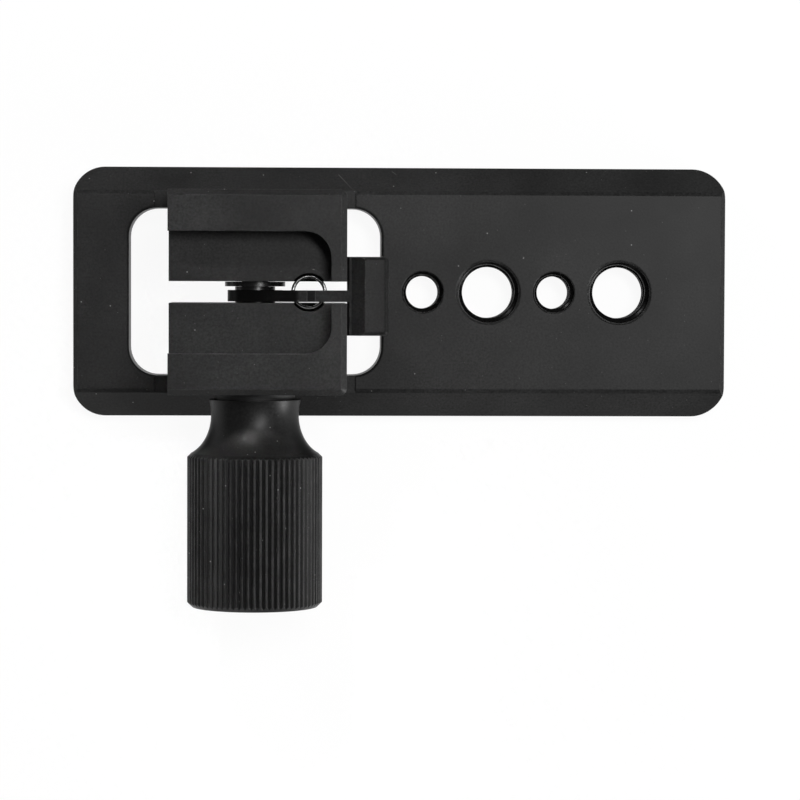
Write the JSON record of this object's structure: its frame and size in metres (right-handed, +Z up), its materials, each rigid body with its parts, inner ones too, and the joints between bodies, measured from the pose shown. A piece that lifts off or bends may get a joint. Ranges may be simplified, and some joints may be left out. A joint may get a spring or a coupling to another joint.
{
  "type": "lens collar foot",
  "caption": "Replacement foot for a long lens's tripod collar: dovetail plate with tapped holes, split clamp block with an undercut channel, knurled clamp knob and sprung release lever.",
  "frame": {"origin": "middle of the dovetail plate's flat underside, halfway along its length and width", "axes": "+X along the plate towards the tapped holes, +Y across the plate away from the clamp knob, +Z up towards the lens collar"},
  "size_m": [0.0992, 0.066, 0.027],
  "materials": {
    "anodised_body": "fine-blasted black anodised aluminium, satin",
    "anodised_knob": "turned and knurled black anodised aluminium",
    "anodised_lever": "black anodised aluminium, satin",
    "screw_steel": "black oxide steel, oiled",
    "clip_steel": "phosphated spring steel",
    "washer_nylon": "black nylon, matte",
    "spring_steel": "bright drawn spring steel wire"
  },
  "bodies": {
    "foot": {"foot_body": "anodised_body", "lever_spring": "spring_steel"},
    "lever": {"release_lever": "anodised_lever"},
    "screw_slider": {"retaining_clip": "clip_steel", "thrust_washer": "washer_nylon"},
    "knob": {"clamp_knob": "anodised_knob", "clamp_screw": "screw_steel"}
  },
  "joints": [
    {"name": "lever_press", "type": "hinge", "parent": "foot", "child": "lever", "pos_m": [-0.022, -0.00055, 0.015], "axis": [0, 1, 0], "range_deg": [0, 12], "stiffness_Nm_per_rad": 0.05, "springref_deg": -5.73, "deforming": ["lever_spring"]},
    {"name": "screw_travel", "type": "slide", "parent": "foot", "child": "screw_slider", "axis": [0, -1, 0], "range_m": [0, 0.0004]},
    {"name": "knob_turn", "type": "hinge", "parent": "screw_slider", "child": "knob", "pos_m": [-0.022, -0.02, 0.015], "axis": [0, -1, 0], "range_deg": [0, 180]}
  ],
  "couplings": [
    {"joint": "knob_turn", "follows": "screw_travel", "rad_per_m": 6283.2}
  ]
}
